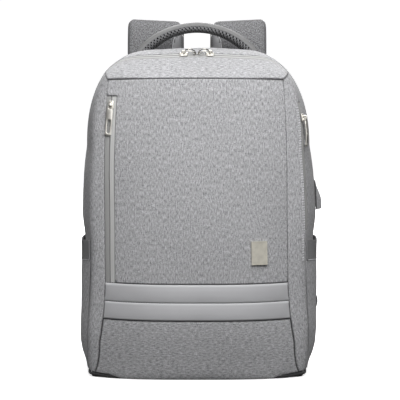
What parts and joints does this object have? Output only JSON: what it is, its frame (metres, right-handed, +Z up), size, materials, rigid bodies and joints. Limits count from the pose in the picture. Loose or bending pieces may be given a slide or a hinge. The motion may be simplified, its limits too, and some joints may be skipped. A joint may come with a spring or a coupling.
{
  "type": "backpack",
  "caption": "Structured laptop backpack with a zipped flat front, smooth front strips, side pockets, padded shoulder straps and a mesh carry handle.",
  "frame": {"origin": "middle of the underside of the base panel", "axes": "+Z up, -Y out of the front, +X to the right of the front"},
  "size_m": [0.3247, 0.2247, 0.4571],
  "materials": {
    "shell_fabric": "light grey heather melange, woven, matt",
    "smooth_strip": "smooth coated grey, satin",
    "zip_tape": "coated light grey zip tape",
    "dark_cloth": "dark grey woven, matt",
    "air_mesh": "grey spacer mesh, matt",
    "strap_cloth": "mid grey heather, matt",
    "metal": "pale nickel, satin",
    "plastic": "dark grey moulded"
  },
  "bodies": {
    "bag": {"front_panel": "shell_fabric", "lower_front_panel": "shell_fabric", "side_panel_left": "shell_fabric", "side_panel_right": "shell_fabric", "top_panel": "shell_fabric", "back_gusset": "shell_fabric", "pocket_left": "shell_fabric", "pocket_right": "shell_fabric", "port_hood": "shell_fabric", "band_lower": "smooth_strip", "band_upper": "smooth_strip", "handle_cover": "smooth_strip", "left_zip_tape": "zip_tape", "right_zip_tape": "zip_tape", "main_zip_tape": "zip_tape", "base_panel": "dark_cloth", "base_piping": "dark_cloth", "webbing_tab_left": "dark_cloth", "webbing_tab_right": "dark_cloth", "webbing_left": "dark_cloth", "webbing_right": "dark_cloth", "pocket_band_left": "dark_cloth", "pocket_band_right": "dark_cloth", "back_panel": "air_mesh", "handle_grip": "air_mesh", "strap_left": "strap_cloth", "strap_right": "strap_cloth", "slider_left": "metal", "slider_right": "metal", "slider_top_left": "metal", "slider_top_right": "metal", "badge": "metal", "adjuster_left": "plastic", "adjuster_right": "plastic"},
    "pull_left": {"pull_left": "metal"},
    "pull_right": {"pull_right": "metal"},
    "pull_top_left": {"pull_top_left": "metal"},
    "pull_top_right": {"pull_top_right": "metal"}
  },
  "joints": [
    {"name": "left_pull_hinge", "type": "hinge", "parent": "bag", "child": "pull_left", "pos_m": [-0.11145, -0.05323, 0.35462], "axis": [-0.9778, 0.2094, 0], "range_deg": [0, 165]},
    {"name": "right_pull_hinge", "type": "hinge", "parent": "bag", "child": "pull_right", "pos_m": [0.14034, -0.03878, 0.33713], "axis": [-0.3366, -0.9416, 0], "range_deg": [0, 165]},
    {"name": "top_left_pull_hinge", "type": "hinge", "parent": "bag", "child": "pull_top_left", "pos_m": [-0.01738, -0.01269, 0.42072], "axis": [0, -0.8765, -0.4814], "range_deg": [0, 165]},
    {"name": "top_right_pull_hinge", "type": "hinge", "parent": "bag", "child": "pull_top_right", "pos_m": [0.01724, -0.01269, 0.42072], "axis": [0, 0.8764, 0.4815], "range_deg": [0, 165]}
  ]
}
